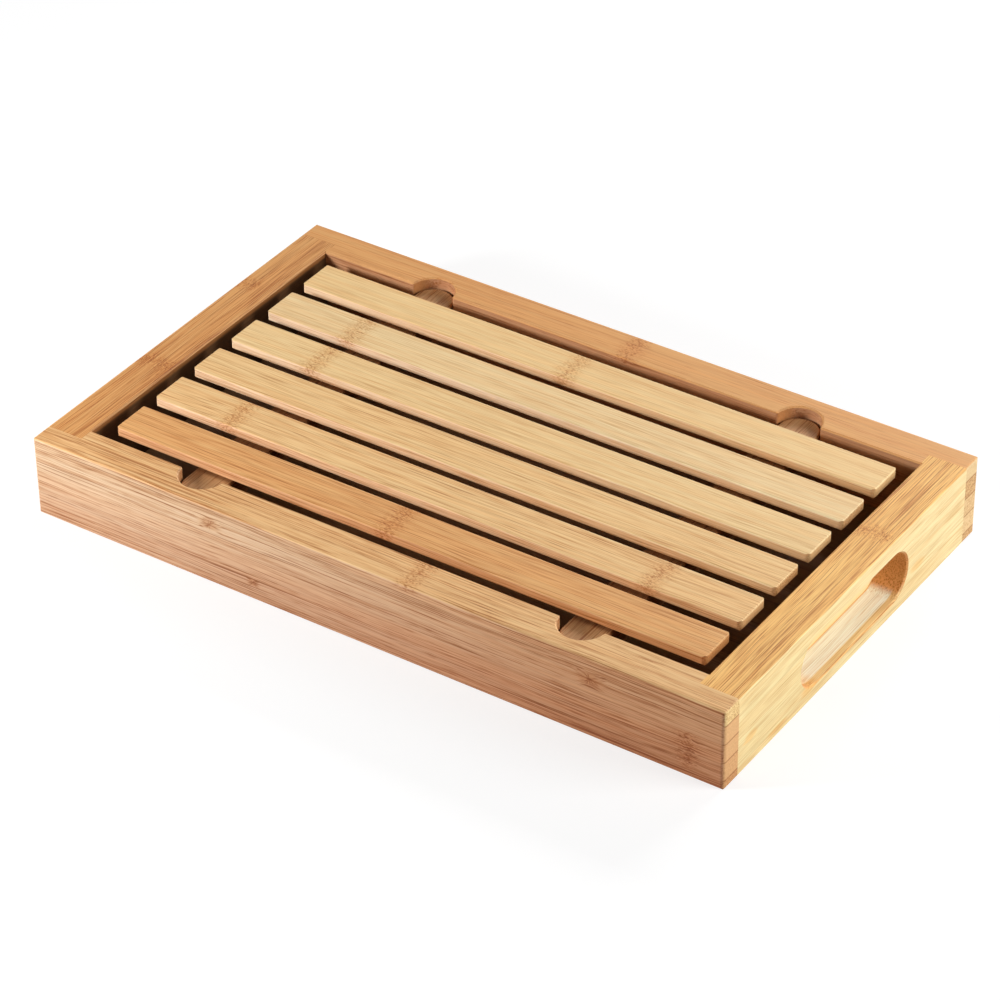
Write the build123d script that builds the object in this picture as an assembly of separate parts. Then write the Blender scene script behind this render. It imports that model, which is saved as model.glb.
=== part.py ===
from build123d import *
import os

# Bread board with a crumb catcher, in bamboo.
# A shallow tray, four rails round a thin panel, carries a grid of slats that lifts out.
# Bread is cut on the slats and the crumbs fall through the gaps onto the panel.
# Millimetres. Origin at the middle of the footprint, on the surface that the rails stand on:
# +X along the long rails to the right, +Y to the back, +Z up.

# Driving dimensions of the tray
tray_length = 400.0
tray_width = 240.0
tray_height = 45.0
rail_thickness = 21.0
rail_edge_round = 1.5
tray_corner_round = 2.0
rim_chamfer = 0.8

# Corner joints: a long rail's end is cut back by this much inside, and the short rail fits in there
rabbet_depth = 8.5

# Crumb panel, held in a groove round the inside of the rails
panel_thickness = 4.0
panel_lift = 5.0
groove_depth = 3.0
groove_play = 0.2

# Handle recesses in the outer faces of the short rails
handle_length = 101.0
handle_wood_above = 9.5
handle_wood_below = 7.5
handle_wood_behind_groove = 2.0

# Slats of the grid, flush with the top of the rails
slat_count = 6
slat_thickness = 6.0
slat_gap = 8.8
slat_side_gap = 9.2
slat_end_gap = 7.8
slat_corner_round = 2.5
slat_edge_round = 1.0
slat_underside_chamfer = 1.2

# Crossbars under the slats, with half-round ends that lie in notches of the long rails
crossbar_width = 22.0
crossbar_thickness = 12.0
crossbar_inset = 61.0
crossbar_chamfer = 0.8
notch_clearance = 1.0
notch_lip_round = 1.5

# Countersunk wood screws, one through a crossbar into each slat
screw_head_diameter = 7.0
screw_head_height = 2.2
screw_diameter = 3.5
screw_cover = 2.0
screw_play = 0.1

# Chamfer of the tray's lower edges
tray_underside_chamfer = 0.6

# How far a cutting shape runs past the face that it cuts
overrun = 5.0

# Sizes worked out from the values above
half_length = tray_length / 2
half_width = tray_width / 2
pocket_length = tray_length - 2 * rail_thickness
pocket_width = tray_width - 2 * rail_thickness
short_rail_length = tray_width - 2 * (rail_thickness - rabbet_depth)
handle_height = tray_height - handle_wood_above - handle_wood_below
handle_depth = rail_thickness - groove_depth - handle_wood_behind_groove
slat_length = pocket_length - 2 * slat_end_gap
slat_width = (pocket_width - 2 * slat_side_gap - (slat_count - 1) * slat_gap) / slat_count
slat_pitch = slat_width + slat_gap
slat_underside = tray_height - slat_thickness
crossbar_underside = slat_underside - crossbar_thickness
crossbar_length = pocket_width + crossbar_width
crossbar_offset = slat_length / 2 - crossbar_inset
notch_radius = crossbar_width / 2 + notch_clearance
screw_tip_height = tray_height - screw_cover

UPWARD = (Align.CENTER, Align.CENTER, Align.MIN)


def block(length, width, height, base=0):
    """A box on the middle of the footprint, with its underside at the height base."""
    return Pos(0, 0, base) * Box(length, width, height, align=UPWARD)


def eased_outline(width, height, edge_round, lower_chamfer):
    """A board's cross section: rounded at the top, with a small chamfer at the bottom."""
    outline = Rectangle(width, height)
    outline = fillet(outline.vertices().group_by(Axis.Y)[-1], edge_round)
    return chamfer(outline.vertices().group_by(Axis.Y)[0], lower_chamfer)


def eased_block(length, width, height, corner_round, edge_round, lower_chamfer):
    """A block with all its edges eased, and its upright corners rounded more than the top."""
    plan = extrude(RectangleRounded(length, width, corner_round), height / 2, both=True)
    side_outline = eased_outline(length, height, edge_round, lower_chamfer)
    end_outline = eased_outline(width, height, edge_round, lower_chamfer)
    side = extrude(Plane.XZ * side_outline, width / 2, both=True)
    end = extrude(Plane.YZ * end_outline, length / 2, both=True)
    return Pos(0, 0, height / 2) * (plan & side & end)


def slat_places():
    """The Y of each slat's centre line, from the front slat to the back one."""
    first = -(slat_count - 1) * slat_pitch / 2
    return [first + number * slat_pitch for number in range(slat_count)]


def crossbar_places():
    return [-crossbar_offset, crossbar_offset]


def notch_cutters():
    """Round pockets, open upward, at the inner faces of both long rails."""
    depth = slat_thickness + crossbar_thickness + overrun
    pocket = Cylinder(notch_radius, depth, align=UPWARD)
    cutters = []
    for x in crossbar_places():
        for side in (-1, 1):
            cutters.append(Pos(x, side * pocket_width / 2, crossbar_underside) * pocket)
    return cutters


def handle_cutter(side):
    """A blind obround recess in the outer face of the short rail on this side."""
    outline = Plane.YZ * SlotOverall(handle_length, handle_height)
    depth = handle_depth + overrun
    start = half_length - handle_depth if side > 0 else -half_length - overrun
    height = handle_wood_below + handle_height / 2
    return Pos(start, 0, height) * extrude(outline, depth)


def round_notch_lips(frame):
    """Takes the sharp upright edges off where a notch meets the inner face of its rail."""
    lips = [
        edge
        for edge in frame.edges().filter_by(Axis.Z)
        if abs(abs(edge.center().Y) - pocket_width / 2) < rail_edge_round
        and abs(edge.center().X) < pocket_length / 2 - rail_edge_round
        and edge.center().Z > crossbar_underside
    ]
    return fillet(lips, notch_lip_round)


def ease_rim(frame, axis, end):
    """Chamfers the mouth of the hollow in the outermost face along an axis."""
    face = frame.faces().filter_by(axis).sort_by(axis)[end]
    return chamfer(face.inner_wires()[0].edges(), rim_chamfer)


def tray_frame():
    """All four rails as one ring, sanded as it is after the corners are glued."""
    frame = eased_block(
        tray_length, tray_width, tray_height, tray_corner_round, rail_edge_round, tray_underside_chamfer
    )
    frame -= block(pocket_length, pocket_width, tray_height + 2 * overrun, -overrun)
    frame -= notch_cutters()
    frame = round_notch_lips(frame)
    frame = ease_rim(frame, Axis.Z, -1)
    groove_length = pocket_length + 2 * groove_depth
    groove_width = pocket_width + 2 * groove_depth
    frame -= block(groove_length, groove_width, panel_thickness + groove_play, panel_lift)
    frame -= [handle_cutter(-1), handle_cutter(1)]
    frame = ease_rim(frame, Axis.X, 0)
    return ease_rim(frame, Axis.X, -1)


def short_rail_space(side):
    """The room that a short rail takes: between the long rails' tongues."""
    middle = side * (half_length - rail_thickness / 2)
    return Pos(middle, 0, 0) * block(rail_thickness, short_rail_length, tray_height)


def short_rail(frame, side):
    return frame & short_rail_space(side)


def long_rail(frame, side):
    """A full-length rail: its ends keep only the outer tongue, which shows its end grain."""
    middle = side * (half_width - rail_thickness / 2)
    strip = Pos(0, middle, 0) * block(tray_length, rail_thickness, tray_height)
    return (frame & strip) - [short_rail_space(-1), short_rail_space(1)]


def bottom_panel():
    reach = 2 * (groove_depth - groove_play)
    return block(pocket_length + reach, pocket_width + reach, panel_thickness, panel_lift)


def screw_shape(play=0):
    """One countersunk screw, head down at height zero; play makes the hole that it fits."""
    shank = screw_diameter / 2 + play
    head = screw_head_diameter / 2 + play
    tip = screw_tip_height - crossbar_underside + play
    profile = Polyline((0, 0), (head, 0), (shank, screw_head_height), (shank, tip), (0, tip), close=True)
    return revolve(Plane.XZ * make_face(profile), Axis.Z)


def screw_places():
    """Where each screw's head lies: under every slat, in both crossbars."""
    return [Pos(x, y, crossbar_underside) for x in crossbar_places() for y in slat_places()]


def screw_holes():
    return [place * screw_shape(screw_play) for place in screw_places()]


def slat(y, holes):
    body = eased_block(
        slat_length, slat_width, slat_thickness, slat_corner_round, slat_edge_round, slat_underside_chamfer
    )
    return Pos(0, y, slat_underside) * body - holes


def crossbar(x, holes):
    outline = Rot(0, 0, 90) * SlotOverall(crossbar_length, crossbar_width)
    body = Pos(x, 0, crossbar_underside) * extrude(outline, crossbar_thickness)
    upper_rim = body.faces().filter_by(Plane.XY).sort_by(Axis.Z)[-1].edges()
    return chamfer(upper_rim, crossbar_chamfer) - holes


def grid_screws():
    return Compound([place * screw_shape() for place in screw_places()])


def all_nodes():
    frame = tray_frame()
    holes = screw_holes()
    nodes = {
        "front_rail": long_rail(frame, -1),
        "back_rail": long_rail(frame, 1),
        "left_rail": short_rail(frame, -1),
        "right_rail": short_rail(frame, 1),
        "bottom_panel": bottom_panel(),
        "left_crossbar": crossbar(-crossbar_offset, holes),
        "right_crossbar": crossbar(crossbar_offset, holes),
        "grid_screws": grid_screws(),
    }
    for number, y in enumerate(slat_places(), start=1):
        nodes[f"slat_{number}"] = slat(y, holes)
    return nodes


os.makedirs("parts", exist_ok=True)
for name, shape in all_nodes().items():
    export_step(shape, f"parts/{name}.step")
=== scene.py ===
import math

import bpy
from mathutils import Matrix, Vector

# Looks of a bamboo bread board: its rails, crumb panel, slats, crossbars and screws, in a plain
# studio. The frame is in metres. Grain is described in millimetres, with the origin at the middle of
# the footprint. A colour is its red, green and blue.

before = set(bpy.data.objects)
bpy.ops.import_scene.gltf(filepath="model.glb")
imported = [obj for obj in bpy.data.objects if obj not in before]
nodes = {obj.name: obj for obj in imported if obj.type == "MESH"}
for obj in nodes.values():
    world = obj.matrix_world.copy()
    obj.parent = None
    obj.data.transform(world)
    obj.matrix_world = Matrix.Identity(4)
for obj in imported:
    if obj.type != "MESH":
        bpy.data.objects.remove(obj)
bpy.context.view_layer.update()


# Shader values

# The sockets that hold a Mix node's factor and its two colours, and the one that gives the result
MIX_SOCKETS = (0, 6, 7)
MIX_RESULT = 2

# Millimetres in a metre
MM = 1000.0


def plug(tree, value, socket):
    """Links a wire to a socket, or writes a plain number or colour there."""
    if isinstance(value, Wire):
        tree.links.new(value.socket, socket)
    elif isinstance(value, tuple):
        socket.default_value = (*value, 1.0)
    else:
        socket.default_value = value


class Wire:
    """A shader value that sums and products can be written with; each step is a Math node."""

    def __init__(self, tree, socket):
        self.tree = tree
        self.socket = socket

    def math(self, operation, *others):
        node = self.tree.nodes.new("ShaderNodeMath")
        node.operation = operation
        for place, value in zip(node.inputs, (self, *others)):
            plug(self.tree, value, place)
        return Wire(self.tree, node.outputs[0])

    def __add__(self, other):
        return self.math("ADD", other)

    def __sub__(self, other):
        return self.math("SUBTRACT", other)

    def __rsub__(self, other):
        return self.math("MULTIPLY_ADD", -1.0, other)

    def __mul__(self, other):
        return self.math("MULTIPLY", other)

    def __truediv__(self, other):
        return self.math("DIVIDE", other)

    def __abs__(self):
        return self.math("ABSOLUTE")

    def floor(self):
        return self.math("FLOOR")

    def squared(self):
        return self.math("POWER", 2.0)

    def least(self, other):
        return self.math("MINIMUM", other)

    def most(self, other):
        return self.math("MAXIMUM", other)

    def between(self, low, high, out_low=0.0, out_high=1.0):
        """A smooth step from out_low to out_high as the value goes from low to high."""
        node = self.tree.nodes.new("ShaderNodeMapRange")
        node.interpolation_type = "SMOOTHSTEP"
        values = (self, low, high, out_low, out_high)
        for place, value in zip(node.inputs, values):
            plug(self.tree, value, place)
        return Wire(self.tree, node.outputs[0])

    def until(self, low, high):
        """1 up to low, falling smoothly to 0 at high."""
        return self.between(low, high, 1.0, 0.0)


class NodeTree:
    """The node tree of a material or a world under construction, and the steps that fill it."""

    def __init__(self, owner, output_kind):
        owner.use_nodes = True
        self.tree = owner.node_tree
        self.tree.nodes.clear()
        self.output_kind = output_kind

    def add(self, kind, inputs=(), output=0, **settings):
        """Adds a node with these inputs and settings, and gives one of its outputs."""
        node = self.tree.nodes.new(kind)
        for key, value in settings.items():
            setattr(node, key, value)
        for key, value in dict(inputs).items():
            plug(self.tree, value, node.inputs[key])
        return Wire(self.tree, node.outputs[output])

    def shown_to_camera(self):
        """1 for what the camera sees, straight, in a reflection or through something clear."""
        rays = self.tree.nodes.new("ShaderNodeLightPath")
        seen = Wire(self.tree, rays.outputs["Is Camera Ray"])
        for kind in ("Is Glossy Ray", "Is Transmission Ray"):
            seen = seen.most(Wire(self.tree, rays.outputs[kind]))
        return seen

    def end_with(self, shader):
        output = self.tree.nodes.new(self.output_kind)
        self.tree.links.new(shader.socket, output.inputs["Surface"])


class Surface(NodeTree):
    """A material under construction."""

    def __init__(self, name):
        self.material = bpy.data.materials.new(name)
        super().__init__(self.material, "ShaderNodeOutputMaterial")

    def split(self, vector):
        node = self.tree.nodes.new("ShaderNodeSeparateXYZ")
        plug(self.tree, vector, node.inputs[0])
        return [Wire(self.tree, output) for output in node.outputs]

    def place(self):
        """A point's place in the frame, as three wires, in millimetres."""
        where = self.add("ShaderNodeTexCoord", output="Object")
        return [part * MM for part in self.split(where)]

    def normal(self):
        """The direction a face looks in, as three wires."""
        return self.split(self.add("ShaderNodeTexCoord", output="Normal"))

    def point(self, x, y, z):
        return self.add("ShaderNodeCombineXYZ", {"X": x, "Y": y, "Z": z})

    def noise(self, vector, detail=1.0):
        return self.add("ShaderNodeTexNoise", {"Vector": vector, "Scale": 1.0, "Detail": detail})

    def chance(self, vector):
        """A random number for each whole place."""
        return self.add("ShaderNodeTexWhiteNoise", {"Vector": vector}, noise_dimensions="3D")

    def dots(self, vector):
        """How far a point is from the nearest of many scattered dots."""
        return self.add("ShaderNodeTexVoronoi", {"Vector": vector, "Scale": 1.0})

    def mix(self, factor, first, second, blend="MIX"):
        node = self.tree.nodes.new("ShaderNodeMix")
        node.data_type = "RGBA"
        node.blend_type = blend
        for place, value in zip(MIX_SOCKETS, (factor, first, second)):
            plug(self.tree, value, node.inputs[place])
        return Wire(self.tree, node.outputs[MIX_RESULT])

    def multiply(self, first, second):
        return self.mix(1.0, first, second, "MULTIPLY")

    def tint(self, colour, amount, share):
        """A colour multiplied by a share of itself, in full where amount is 1."""
        return self.multiply(colour, self.mix(amount, WHITE, share))

    def ramp(self, factor, stops):
        node = self.tree.nodes.new("ShaderNodeValToRGB")
        elements = node.color_ramp.elements
        while len(elements) < len(stops):
            elements.new(0.5)
        for element, (place, colour) in zip(elements, stops):
            element.position = place
            element.color = (*colour, 1.0)
        plug(self.tree, factor, node.inputs[0])
        return Wire(self.tree, node.outputs[0])

    def bump(self, strength, distance, height):
        inputs = {"Strength": strength, "Distance": distance, "Height": height}
        return self.add("ShaderNodeBump", inputs)

    def principled(self, **inputs):
        """Ends the material with one Principled shader, whose sockets are named with underscores."""
        sockets = {key.replace("_", " "): value for key, value in inputs.items()}
        self.end_with(self.add("ShaderNodeBsdfPrincipled", sockets))
        return self.material


def tinted(colour, share):
    """A colour with each channel multiplied by its own share."""
    return tuple(part * factor for part, factor in zip(colour, share))


def even(colour):
    """A pair of colours for a piece that has the same one at both ends."""
    return (colour, colour)


# Bamboo

# The board
HALF_LENGTH = 200.0
BOARD_HEIGHT = 45.0

# What multiplies the colour of the wood
WHITE = (1.0, 1.0, 1.0)
REDDER = (1.01, 0.965, 0.92)
YELLOWER = (0.995, 1.02, 1.04)
BROWNED = (0.83, 0.65, 0.48)
SCORCHED = (0.54, 0.35, 0.23)
# Painted shade for what lies under the slats
SHADE_UNDER_SLATS = (0.42, 0.36, 0.30)
OILED = (1.0, 0.80, 0.58)
# Rounded edges: partly rubbed paler, partly a painted highlight
RUBBED_AND_HIGHLIT = (1.12, 1.17, 1.25)

# How a fibre's tone, from dark to pale, multiplies it too. A ramp holds no number above 1, so these
# shares are divided by the palest one there, and what they multiply is lifted by it.
FIBRE_TONES = [
    (0.00, (0.50, 0.33, 0.22)),
    (0.25, (0.80, 0.68, 0.57)),
    (0.50, (1.00, 1.00, 1.00)),
    (0.75, (1.09, 1.14, 1.18)),
    (1.00, (1.15, 1.24, 1.30)),
]
MIDDLE_TONE = 0.5
PALEST = 1.30
LIFT = (PALEST, PALEST, PALEST)
LOWER = (1 / PALEST, 1 / PALEST, 1 / PALEST)

# Each pair of limits below is where a smooth step begins and where it ends

# The upward part of a face's normal: where tops begin, and where rounded edges begin and end
TOP_BEGINS = (0.35, 0.80)
EDGE_BEGINS = (0.10, 0.40)
EDGE_ENDS = (0.80, 0.97)

# A wall of the tray is a face that looks towards the middle from this far out, less than zero.
# Below its rim it can have another colour, which on the left rail is painted shade.
INNER_WALL = (-100.0, -60.0)
INNER_WALL_SHADE_EDGE = (41.0, 43.3)

# The handle recess: depths below the short side's face, and heights
RECESS_MOUTH = (0.4, 0.9)
RECESS_BEHIND = (17.0, 18.0)
RECESS_BELOW = (7.0, 7.4)
RECESS_ABOVE = (35.4, 36.0)
OUTER_STRIP_ENDS = (3.2, 4.2)
LEDGE_ENDS = (15.3, 15.8)

# The share of its figure that the wood in a recess shows, and how dark a seam is
RECESS_FIGURE = 0.4
SEAM_DARKNESS = 1.2

# The long rails' outer ends, and the height where their pale top strip begins
OUTER_END = (190.0, 195.0)
TOP_STRIP_BEGINS = (36.1, 36.7)

# How strongly rounded edges are rubbed paler and lightened by a painted highlight, and the places
# along the fibres between which the painted highlight on some grows brightest
EDGE_WEAR_AND_HIGHLIGHT = 0.6
EDGE_HIGHLIGHT_BRIGHTEST = (-60.0, 150.0)

# How far from a knuckle the wood is browner, and a distance at which a knuckle leaves no mark
KNUCKLE_REACH = 10.0
FAR_AWAY = 1000.0

# How far the outlines of knuckles and oil spots stray along the fibres, and those of spots in height
RAGGEDNESS = 9.0
OIL_RAGGEDNESS = 3.0

# How far apart the bundles of fibres are that a cut end shows, and how deep they go
BUNDLE_PITCH = 0.85
BUNDLE_LENGTH = 20.0


class Grain:
    """How strongly each kind of figure shows: 1 is a tone from half dark to half pale.

    flank is the share of it that faces looking sideways show, and width is how broad one fibre is.
    """

    def __init__(self, broad, fibre, hair, dash, streak, strip=0.1, flank=1.0, width=0.8):
        self.broad = broad
        self.fibre = fibre
        self.hair = hair
        self.dash = dash
        self.streak = streak
        self.strip = strip
        self.flank = flank
        self.width = width


class Bamboo:
    """The bamboo of one piece while its material is made, one kind of figure after another.

    u is a point's place along the fibres, and v and w are its places across them, on the axes that
    strips names.
    """

    def __init__(self, name, along, strips, grain, hollow, seed):
        self.surface = Surface(name)
        self.along = along
        self.strips = strips
        self.grain = grain
        self.hollow = hollow
        self.seed = seed
        self.axes = dict(zip("XYZ", self.surface.place()))
        self.normals = dict(zip("XYZ", self.surface.normal()))
        self.u = self.axes[along]
        self.v, self.w = [self.axes[axis] for axis, _, _ in strips]
        self.height = self.axes["Z"]
        self.depth = HALF_LENGTH - abs(self.axes["X"])
        self.upward = self.normals["Z"].between(*TOP_BEGINS)
        self.straight = (self.v, self.w)

    def noise(self, across, length, width, slide=0.0, side=0.0, rise=0.0, detail=1.0):
        """Noise drawn out along the fibres, to this length and width.

        across is a point's place across them. slide moves the noise along the fibres, and side and
        rise across them, counted in its own length and width.
        """
        v, w = across
        x = self.u / length + slide
        return self.surface.noise(self.surface.point(x, v / width + side, w / width + rise), detail)

    def find_knuckles(self, knuckles):
        """How far a point lies from the nearest knuckle, which has a ragged outline.

        Across the fibres and in height, its marks fade three times as fast as along them.
        """
        where = self.surface.point(self.v / 1.9 + self.seed, self.w / 1.9, self.u / 30.0)
        self.ragged = self.surface.noise(where, detail=2.0) - 0.5
        self.from_knuckle = abs(self.u) + FAR_AWAY
        for centre, low, high, lowest in knuckles:
            beside = abs(self.v - (low + high) / 2) - (high - low) / 2
            outside = beside.most(lowest - self.height).most(0.0)
            reach = abs(self.u - centre + self.ragged * RAGGEDNESS) + outside * 3.0
            self.from_knuckle = self.from_knuckle.least(reach)
        self.near_knuckle = self.from_knuckle.until(0.0, KNUCKLE_REACH)

    def draw_bud(self, centre, level, size):
        """How far the fibres swing round a small eye, and its brown halo and dark rays.

        spread is a point's distance from its centre, counted in its own size.
        """
        du = self.u - centre
        dv = self.height - level
        spread = ((du / size).squared() + (dv / (size * 0.5)).squared()).math("SQRT")
        swing = spread.until(0.0, 1.6) * dv * 0.7
        halo = spread.until(0.3, 1.5)
        angle = dv.math("ARCTAN2", du)
        spokes = self.surface.noise(self.surface.point(angle * 2.6 + centre, spread * 0.7, self.seed))
        rays = spokes.between(0.47, 0.58) * spread.until(0.25, 1.1)
        heart = spread.until(0.05, 0.35)
        return swing, halo, rays.most(heart)

    def bend_fibres(self, buds):
        """Fibres wander slowly, more so beside a knuckle, and swing round each bud."""
        sway = self.noise(self.straight, length=90.0, width=14.0, slide=self.seed) - 0.5
        swirl = self.noise(self.straight, length=4.0, width=2.5, side=self.seed) - 0.5
        bend = sway * 3.0 + swirl * self.near_knuckle * 2.4
        self.buds = []
        for bud in buds:
            swing, halo, rays = self.draw_bud(*bud)
            bend = bend + swing
            self.buds.append((halo, rays))
        return bend

    def lay_strips(self):
        """Each strip has its own tone, and a thin broken seam of glue on each side."""
        edges = []
        numbers = []
        for place, (_, start, pitch) in zip((self.v, self.w), self.strips):
            turn = (place - start) / pitch
            edges.append(abs(turn - turn.math("ROUND")) * pitch)
            numbers.append(turn.floor())
        self.from_seam = edges[0].least(edges[1])
        strip = self.surface.point(numbers[0] + self.seed, numbers[1] + 7.3, 0.5)
        self.strip_tone = self.surface.chance(strip) - 0.5
        broken = self.noise(self.straight, length=26.0, width=4.0, slide=self.seed)
        self.seam = self.from_seam.until(0.05, 0.45) * broken.between(0.40, 0.58, 0.25, 1.0)

    def scatter_specks(self):
        """Specks of cut fibre, which show round the knuckles."""
        slant = self.v / 2.2
        self.flecks = self.noise(self.straight, length=1.5, width=0.7, slide=slant, side=self.seed)
        near = self.from_knuckle.between(1.0, 9.0, 0.60, 0.0)
        self.specks = self.flecks.between(0.54, 0.66) * near

    def draw_fibres(self, bend):
        """Broad bands, lines, hairs, short dashes, long dark streaks and slow changes of hue."""
        bent = (self.v + bend, self.w + bend * 0.7)
        shift = self.strip_tone * 40.0 + self.seed
        seed = self.seed
        width = self.grain.width
        self.broad = self.noise(bent, length=130.0, width=5.0, slide=shift, rise=seed) - 0.5
        self.lines = self.noise(bent, length=95.0, width=width, slide=shift, rise=seed) - 0.5
        hair = self.noise(bent, length=22.0, width=0.38, slide=shift, rise=seed, detail=0.0)
        self.hair = hair - 0.5
        dashes = self.noise(bent, length=9.0, width=0.55, slide=shift, side=9.0, detail=0.0)
        streaks = self.noise(bent, length=110.0, width=width, slide=shift, side=5.0)
        wanted = self.noise(self.straight, length=60.0, width=8.0, slide=shift, detail=0.0)
        self.dash = dashes.between(0.56, 0.70)
        self.streak = streaks.between(0.56, 0.68) * wanted.between(0.36, 0.56, 0.25, 1.0)
        self.blush = self.noise(bent, length=160.0, width=3.2, slide=shift, side=2.0)

    def find_recess(self):
        """1 in the handle recess and 0 outside it."""
        inside = self.depth.between(*RECESS_MOUTH) * self.depth.until(*RECESS_BEHIND)
        inside = inside * self.height.between(*RECESS_BELOW)
        self.inside = inside * self.height.until(*RECESS_ABOVE)

    def ramp_of_tones(self, tone):
        """What a tone from 0, dark, to 1, pale, multiplies the wood by, before it is lifted."""
        stops = [(place, tinted(share, LOWER)) for place, share in FIBRE_TONES]
        return self.surface.ramp(tone, stops)

    def fibre_tones(self):
        """The tones of all the figure, which shows in another strength on the sides."""
        grain = self.grain
        figure = (
            self.broad * grain.broad
            + self.lines * grain.fibre
            + self.hair * grain.hair
            + self.strip_tone * grain.strip
            - self.dash * grain.dash
            - self.streak * grain.streak
        )
        strength = self.upward.between(0.0, 1.0, grain.flank, 1.0)
        if self.hollow:
            strength = strength * self.inside.between(0.0, 1.0, 1.0, RECESS_FIGURE)
        tone = figure * strength + MIDDLE_TONE - self.seam * grain.strip * SEAM_DARKNESS
        return self.ramp_of_tones(tone)

    def flank_colour(self, side, low_share, inner):
        """Sideways faces' colour, partly painted light, with any painted shade on inner walls."""
        mix = self.surface.mix
        flank = mix(self.u.between(-HALF_LENGTH, HALF_LENGTH), *side)
        share = mix(self.height.between(0.0, BOARD_HEIGHT), low_share, WHITE)
        flank = self.surface.multiply(flank, share)
        if inner:
            across = "Y" if self.along == "X" else "X"
            inward = (self.normals[across] * self.axes[across]).until(*INNER_WALL)
            flank = mix(inward, flank, mix(self.height.between(*INNER_WALL_SHADE_EDGE), *inner))
        return flank

    def colour_ledge(self, wood):
        """The ledge of the handle recess is paler behind the rail's outer strip."""
        outer_strip, core, _ = self.hollow
        ledge = self.surface.mix(self.depth.between(*OUTER_STRIP_ENDS), outer_strip, core)
        on_ledge = self.inside * self.depth.until(*LEDGE_ENDS)
        return self.surface.mix(on_ledge, wood, ledge)

    def paint_shade_under_slats(self, wood, covered):
        """Painted shade: what lies under other pieces, this far out from the middle, is darkened."""
        painted_shade = self.surface.multiply(wood, SHADE_UNDER_SLATS)
        return self.surface.mix(abs(self.u).between(covered, covered + 3.0), painted_shade, wood)

    def spot_with_oil(self, wood, centre, level, half_length, half_height):
        """A ragged spot of oil that has soaked in."""
        du = (self.u - centre + self.ragged * RAGGEDNESS) / half_length
        dv = (self.height - level + self.ragged * OIL_RAGGEDNESS) / half_height
        spot = (du * du + dv * dv).between(0.1, 1.2, 0.8, 0.0)
        return self.surface.mix(spot, wood, self.surface.multiply(wood, OILED))

    def figured(self, wood):
        """The wood's colour with its slow changes of hue and its fibres."""
        hue = self.surface.mix(self.blush.between(0.30, 0.70), REDDER, YELLOWER)
        wood = self.surface.multiply(wood, hue)
        body = self.surface.multiply(wood, self.fibre_tones())
        return self.surface.multiply(body, LIFT)

    def mark_knuckles(self, body):
        """Knuckles and buds: browner wood, then a dark ragged line, specks and rays."""
        browned = self.near_knuckle * self.flecks.between(0.35, 0.60, 0.25, 0.70)
        gaps = self.flecks.between(0.36, 0.56, 0.2, 1.0)
        line = self.from_knuckle.between(0.10, 0.75, 0.55, 0.0) * gaps
        marks = self.specks.most(line)
        for halo, rays in self.buds:
            browned = browned.most(halo * 0.75)
            marks = marks.most(rays * 0.9)
        body = self.surface.tint(body, browned, BROWNED)
        return self.surface.tint(body, marks, SCORCHED)

    def end_colour(self, top, cut, end):
        """The wood's colour where its fibres are cut across."""
        if self.hollow:
            return tinted(self.hollow[2], LIFT)
        colour = tinted(tinted(top, cut), LIFT)
        if end:
            below, top_strip = [tinted(part, LIFT) for part in end]
            outer_end = self.surface.mix(self.height.between(*TOP_STRIP_BEGINS), below, top_strip)
            colour = self.surface.mix(abs(self.u).between(*OUTER_END), colour, outer_end)
        return colour

    def cut_ends(self, body, top, cut, end):
        """On cut ends the fibres' bundles show as dots, and the seams as dark lines."""
        turned = (0.25, 0.60) if self.hollow else (0.50, 0.92)
        self.across_grain = abs(self.normals[self.along]).between(*turned)
        contrast = 1.1 if self.hollow else 0.45
        where = self.surface.point(
            self.u / BUNDLE_LENGTH,
            self.v / BUNDLE_PITCH + self.seed,
            self.w / BUNDLE_PITCH,
        )
        dots = (self.surface.dots(where) - 0.45) * contrast
        tone = self.lines * 0.7 + MIDDLE_TONE + dots + self.strip_tone * 0.45 * self.grain.flank
        end_body = self.surface.multiply(self.ramp_of_tones(tone), self.end_colour(top, cut, end))
        if not self.hollow:
            end_seam = self.from_seam.between(0.10, 0.60, 0.85, 0.0)
            end_body = self.surface.tint(end_body, end_seam, SCORCHED)
        return self.surface.mix(self.across_grain, body, end_body)

    def rub_and_highlight_edges(self, body, edge_highlight):
        """Rounded edges are rubbed paler and given a painted highlight, on slats brighter to the
        right.
        """
        upward = self.normals["Z"]
        edge = upward.between(*EDGE_BEGINS) * upward.until(*EDGE_ENDS)
        rub_and_highlight_share = RUBBED_AND_HIGHLIT
        if edge_highlight:
            rub_and_highlight_share = self.surface.mix(self.u.between(*EDGE_HIGHLIGHT_BRIGHTEST), RUBBED_AND_HIGHLIT, edge_highlight)
        return self.surface.mix(edge * EDGE_WEAR_AND_HIGHLIGHT, body, self.surface.multiply(body, rub_and_highlight_share))

    def relief(self):
        """Fine relief: lines and hairs stand up, and dashes, streaks, specks and seams sink in."""
        height = self.lines * 0.8 + self.hair * 0.5 - self.dash * 0.5 - self.streak * 0.6
        return height - self.specks * 0.5 - self.seam * 0.6

    def finished(self, body):
        """The material, oiled wood that is rougher where its fibres are cut across."""
        return self.surface.principled(
            Base_Color=body,
            Roughness=self.lines * 0.20 + 0.58 + self.across_grain * 0.12,
            Normal=self.surface.bump(strength=0.30, distance=0.00012, height=self.relief()),
            IOR=1.45,
            Specular_IOR_Level=0.32,
        )


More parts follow.
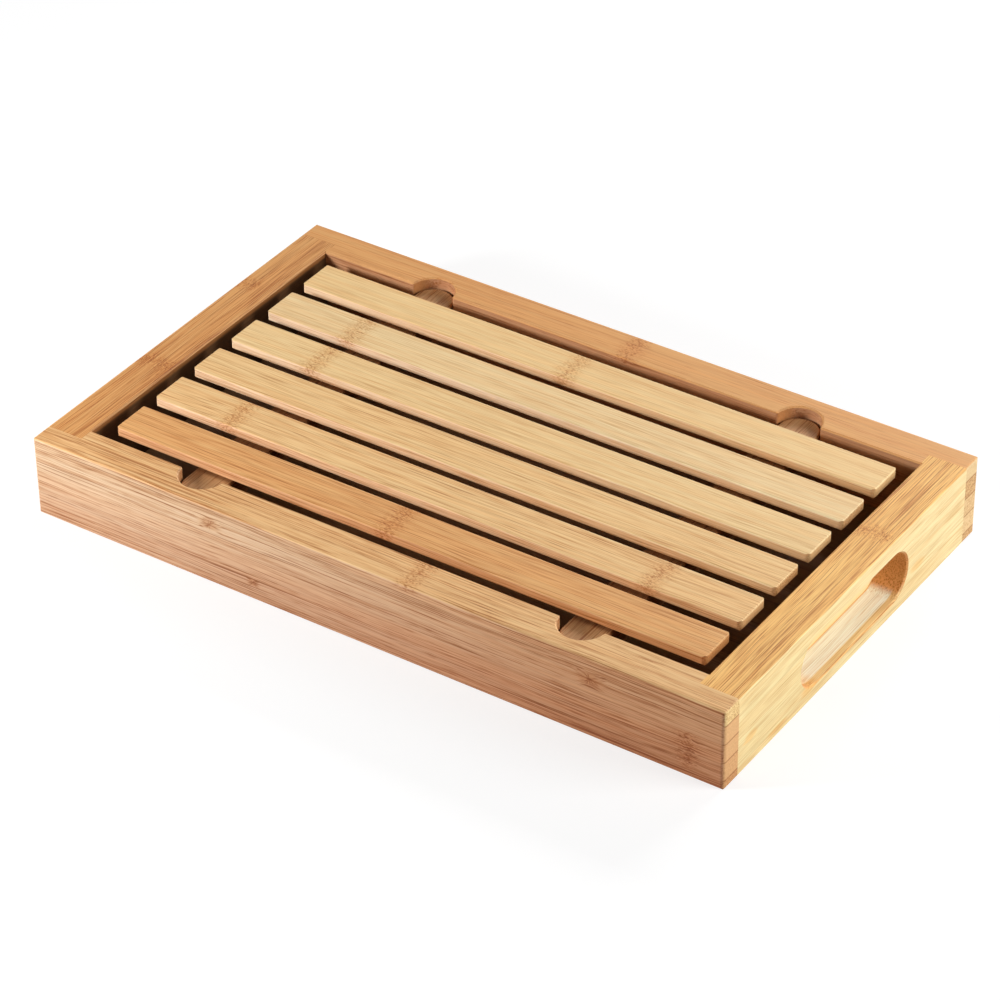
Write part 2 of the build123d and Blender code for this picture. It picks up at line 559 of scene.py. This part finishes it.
def bamboo(
    name, along, strips, grain, top, side, seed, low_share=WHITE, knuckles=(), buds=(), patches=(),
    end=None, inner=None, hollow=None, covered=None, edge_highlight=None, cut=(0.66, 0.57, 0.54),
):
    """Laminated bamboo.

    along is the axis of the fibres. strips gives, for the two axes across it, where one glue seam
    lies and how far apart they are. top is the colour of what faces up. side is a pair of colours for
    what faces sideways, at -200 and at 200 mm along the fibres; the change between them is partly the
    wood's own and partly painted light. low_share multiplies it at the floor.
    knuckles are the joints of the cane: the place along the fibres, the span of the first strip axis
    that a knuckle crosses, and the lowest height that it reaches. buds are small eyes: the place along
    the fibres, the height and the size. patches are spots of oil: the place along the fibres, the
    height, and half the length and height. end is a pair of colours for a long rail's outer ends,
    below the top strip and on it. inner is a pair for the wall that looks into the tray, below its rim
    and at it; on the left rail it is painted shade, dark below the rim. hollow holds three colours for
    a handle recess: the outer strip of its ledge, the wood behind that, and its round ends. covered is
    how far out from the middle the piece lies under others, where its colour is darkened as painted
    shade. edge_highlight is what multiplies the colour of rounded edges where their painted highlight
    is brightest. cut is the share of top's colour that cut ends have. seed moves the figure, so that
    no two pieces are alike.
    """
    piece = Bamboo(name, along, strips, grain, hollow, seed)
    piece.find_knuckles(knuckles)
    bend = piece.bend_fibres(buds)
    piece.lay_strips()
    piece.scatter_specks()
    piece.draw_fibres(bend)
    wood = piece.surface.mix(piece.upward, piece.flank_colour(side, low_share, inner), top)
    if hollow:
        piece.find_recess()
        wood = piece.colour_ledge(wood)
    if covered:
        wood = piece.paint_shade_under_slats(wood, covered)
    for patch in patches:
        wood = piece.spot_with_oil(wood, *patch)
    body = piece.mark_knuckles(piece.figured(wood))
    body = piece.cut_ends(body, top, cut, end)
    return piece.finished(piece.rub_and_highlight_edges(body, edge_highlight))


def steel(name):
    """Zinc-plated steel with turned marks."""
    surface = Surface(name)
    x, y, z = surface.place()
    marks = surface.noise(surface.point(x / 0.4, y / 0.4, z / 0.08), detail=2.0)
    stain = surface.noise(surface.point(x / 3.0, y / 3.0, z / 3.0))
    colour = surface.ramp(stain, [(0.3, (0.42, 0.41, 0.38)), (0.7, (0.62, 0.61, 0.58))])
    return surface.principled(
        Base_Color=colour,
        Metallic=1.0,
        Roughness=stain * 0.2 + 0.26,
        Normal=surface.bump(strength=0.2, distance=0.0001, height=marks),
    )


# Seams of the laminations: axis, one seam's place, pitch. Where there is no seam, the pitch is long
# and the place lies outside the piece.
LONG_STRIPS = [("Z", 4.9, 10.5), ("Y", 0.0, 200.0)]
SHORT_STRIPS = [("X", 1.2, 5.1), ("Z", 6.0, 7.5)]
SLAT_STRIPS = [("Y", 0.0, 400.0), ("Z", 0.0, 200.0)]
CROSSBAR_STRIPS = [("X", 0.0, 5.5), ("Z", 31.0, 100.0)]
PANEL_STRIPS = [("Y", 4.0, 18.0), ("Z", 0.0, 100.0)]

# The lowest height of a knuckle that shows on the top only, and of one that goes right down
TOP_LEVEL = 43.0
ANY_LEVEL = -10.0

# The span of a knuckle that crosses its whole piece
WHOLE_WIDTH = (-300.0, 300.0)

# Painted shade: the panel is dark brown, standing in for the deep shade between the slats
PANEL_SHADE_COLOUR = (0.23, 0.112, 0.038)

looks = {
    "front_rail": bamboo(
        "bamboo_front_rail", "X", LONG_STRIPS,
        Grain(
            broad=0.35, fibre=1.15, hair=0.65, dash=0.12, streak=0.34, strip=0.14, flank=1.25,
        ),
        top=(0.74, 0.445, 0.200),
        # Paler towards the left near the front-left lamp, browner to the right: partly wood, partly
        # painted light
        side=((0.595, 0.415, 0.262), (0.565, 0.290, 0.142)),
        seed=11.0,
        low_share=(0.91, 0.78, 0.75),
        inner=even((0.52, 0.26, 0.13)),
        knuckles=[(24.5, 40.0, 46.0, TOP_LEVEL), (180.5, 6.0, 24.0, ANY_LEVEL)],
        buds=[(-91.0, 35.0, 6.5), (127.5, 33.5, 8.0), (-66.0, 10.0, 3.5)],
        end=((0.64, 0.350, 0.152), (0.82, 0.60, 0.28)),
    ),
    "back_rail": bamboo(
        "bamboo_back_rail", "X", LONG_STRIPS,
        Grain(
            broad=0.35, fibre=0.65, hair=0.40, dash=0.08, streak=0.16, strip=0.08, flank=1.4,
        ),
        top=(0.67, 0.330, 0.114),
        side=even((0.52, 0.26, 0.13)),
        seed=23.0,
        low_share=(0.92, 0.82, 0.76),
        knuckles=[
            (6.7, 40.0, 46.0, TOP_LEVEL),
            (-120.0, 20.0, 30.0, ANY_LEVEL),
            (95.0, 8.0, 16.0, ANY_LEVEL),
        ],
        end=((0.71, 0.49, 0.25), (0.62, 0.42, 0.21)),
    ),
    "left_rail": bamboo(
        "bamboo_left_rail", "Y", SHORT_STRIPS,
        Grain(
            broad=0.50, fibre=1.50, hair=1.00, dash=0.12, streak=0.16, strip=0.14, flank=0.5,
            width=0.56,
        ),
        top=(0.62, 0.300, 0.100),
        side=even((0.66, 0.40, 0.17)),
        seed=37.0,
        # Painted shade: the inner wall is nearly black below its rim, with a brighter band at the rim
        inner=((0.085, 0.038, 0.012), (0.33, 0.143, 0.044)),
        knuckles=[(-33.0, -200.0, -181.0, TOP_LEVEL), (52.0, -200.0, -190.0, TOP_LEVEL)],
        hollow=((0.78, 0.48, 0.21), (0.82, 0.62, 0.39), (0.56, 0.26, 0.09)),
    ),
    "right_rail": bamboo(
        "bamboo_right_rail", "Y", SHORT_STRIPS,
        Grain(
            broad=0.30, fibre=1.60, hair=1.50, dash=0.12, streak=0.08, strip=0.10, flank=0.29,
            width=0.42,
        ),
        top=(0.80, 0.45, 0.142),
        side=((0.87, 0.70, 0.355), (0.83, 0.66, 0.350)),
        seed=41.0,
        inner=even((0.60, 0.35, 0.14)),
        knuckles=[(36.7, 181.0, 196.0, TOP_LEVEL)],
        patches=[
            (-97.0, 16.0, 7.0, 3.0),
            (-72.0, 4.5, 11.0, 2.0),
            (-42.0, 8.5, 9.0, 3.5),
            (61.0, 16.0, 9.0, 3.0),
        ],
        hollow=((0.88, 0.62, 0.30), (0.95, 0.90, 0.77), (0.66, 0.29, 0.095)),
    ),
    "bottom_panel": bamboo(
        "bamboo_panel", "X", PANEL_STRIPS,
        Grain(broad=0.4, fibre=0.7, hair=0.3, dash=0.1, streak=0.2, strip=0.3),
        top=PANEL_SHADE_COLOUR,
        side=even(PANEL_SHADE_COLOUR),
        seed=59.0,
        knuckles=[
            (-130.0, -60.0, -42.0, ANY_LEVEL),
            (40.0, -24.0, -6.0, ANY_LEVEL),
            (-20.0, 30.0, 48.0, ANY_LEVEL),
            (140.0, 66.0, 84.0, ANY_LEVEL),
        ],
    ),
    "grid_screws": steel("zinc_steel"),
}
for number, node in enumerate(("left_crossbar", "right_crossbar")):
    looks[node] = bamboo(
        f"bamboo_{node}", "Y", CROSSBAR_STRIPS,
        Grain(broad=0.3, fibre=0.9, hair=0.3, dash=0.2, streak=0.5),
        top=(0.56, 0.305, 0.135),
        side=even((0.52, 0.28, 0.12)),
        seed=61.0 + 6.0 * number,
        # Painted shade: the crossbars are darker where they lie under the slats
        covered=90.0,
    )

# Each slat, from the front: colour of its top, where its knuckles lie, and how strong its grain is
SLATS = [
    ((0.675, 0.346, 0.126), [-9.0], 2.4),
    ((0.77, 0.488, 0.222), [-126.0, 120.0], 2.3),
    ((0.785, 0.510, 0.234), [], 2.0),
    ((0.80, 0.548, 0.262), [-121.0], 1.5),
    ((0.80, 0.565, 0.288), [-120.7], 1.5),
    ((0.81, 0.550, 0.258), [-9.3], 1.3),
]

# The share of its top's colour that a slat's side has, towards the left and towards the right; the
# darkening towards the right is painted shade
SLAT_SIDE_SHARES = ((1.02, 1.06, 1.44), (0.93, 0.84, 0.87))

for number, (top, places, contrast) in enumerate(SLATS, start=1):
    looks[f"slat_{number}"] = bamboo(
        f"bamboo_slat_{number}", "X", SLAT_STRIPS,
        Grain(
            broad=0.25, fibre=0.38 * contrast, hair=0.42 * contrast, dash=0.05,
            streak=0.03 * contrast, strip=0.0, width=0.7,
        ),
        top=top,
        side=[tinted(top, share) for share in SLAT_SIDE_SHARES],
        seed=70.0 + 6.1 * number,
        knuckles=[(place, *WHOLE_WIDTH, ANY_LEVEL) for place in places],
        # Painted highlight on the slats' rounded edges, brightest towards their right ends
        edge_highlight=(1.36, 1.65, 1.95),
        cut=(0.78, 0.71, 0.68),
    )

for name, material in looks.items():
    for slot in nodes[name].material_slots:
        slot.material = material


# Studio

def put_in_scene(name, data):
    item = bpy.data.objects.new(name, data)
    bpy.context.scene.collection.objects.link(item)
    return item


def turned_to(place, aim):
    """The turn that makes a lamp or camera at a place look at the point aim."""
    return (Vector(aim) - Vector(place)).to_track_quat("-Z", "Y")


def floor_material():
    """White to the camera, with the object's shadow on it, and plain pale paint to other rays."""
    surface = Surface("studio_floor")
    unevenness = surface.noise(surface.add("ShaderNodeTexCoord", output="Object"), detail=2.0)
    paint = surface.ramp(unevenness, [(0.3, (0.78, 0.78, 0.78)), (0.7, (0.82, 0.82, 0.82))])
    painted = surface.add("ShaderNodeBsdfDiffuse", {"Color": paint})
    shaded = surface.add("ShaderNodeBsdfDiffuse", {"Color": (0.34, 0.34, 0.34)})
    glow = surface.add("ShaderNodeEmission", {"Color": WHITE, "Strength": 0.72})
    white = surface.add("ShaderNodeAddShader", {0: shaded, 1: glow})
    choice = {0: surface.shown_to_camera(), 1: painted, 2: white}
    surface.end_with(surface.add("ShaderNodeMixShader", choice))
    return surface.material


def add_floor(size):
    mesh = bpy.data.meshes.new("studio_floor")
    half = size / 2
    corners = [(-half, -half, 0), (half, -half, 0), (half, half, 0), (-half, half, 0)]
    mesh.from_pydata(corners, [], [(0, 1, 2, 3)])
    mesh.materials.append(floor_material())
    put_in_scene("studio_floor", mesh)


def add_world(ambient):
    """White for the camera and for reflections; a plain soft fill for everything else."""
    world = bpy.data.worlds.new("studio_world")
    bpy.context.scene.world = world
    sky = NodeTree(world, "ShaderNodeOutputWorld")
    backdrop = sky.add("ShaderNodeBackground", {"Color": WHITE})
    fill = sky.add("ShaderNodeBackground", {"Color": ambient})
    choice = {0: sky.shown_to_camera(), 1: fill, 2: backdrop}
    sky.end_with(sky.add("ShaderNodeMixShader", choice))


def add_lamp(name, place, aim, size, watts):
    """A soft rectangular light."""
    light = bpy.data.lights.new(name, "AREA")
    light.shape = "RECTANGLE"
    light.size, light.size_y = size
    light.energy = watts
    lamp = put_in_scene(name, light)
    lamp.location = place
    lamp.rotation_euler = turned_to(place, aim).to_euler()


def add_camera(place, aim, roll, lens):
    data = bpy.data.cameras.new("camera")
    data.lens = lens
    data.sensor_width = 36.0
    data.clip_end = 50.0
    camera = put_in_scene("camera", data)
    turn = turned_to(place, aim).to_matrix().to_4x4()
    camera.matrix_world = Matrix.Translation(place) @ turn @ Matrix.Rotation(roll, 4, "Z")
    bpy.context.scene.camera = camera


add_floor(size=12.0)
add_world(ambient=(0.01, 0.01, 0.01))
add_lamp(
    "front_left_lamp",
    place=(-0.62, -0.66, 0.36),
    aim=(-0.10, -0.14, 0.03),
    size=(0.22, 0.22),
    watts=9.4,
)
add_lamp(
    "right_lamp",
    place=(1.00, 0.22, 0.45),
    aim=(0.10, 0.0, 0.03),
    size=(0.50, 0.45),
    watts=8.4,
)
add_lamp(
    "back_lamp",
    place=(0.0, 1.75, 0.95),
    aim=(0.0, 0.0, 0.04),
    size=(1.20, 0.50),
    watts=32.0,
)
add_camera(
    place=(0.90403, -1.33621, 1.16759),
    aim=(0.02364, -0.03812, 0.045),
    roll=math.radians(-0.705),
    lens=143.81,
)

bpy.context.scene.view_settings.view_transform = "Standard"
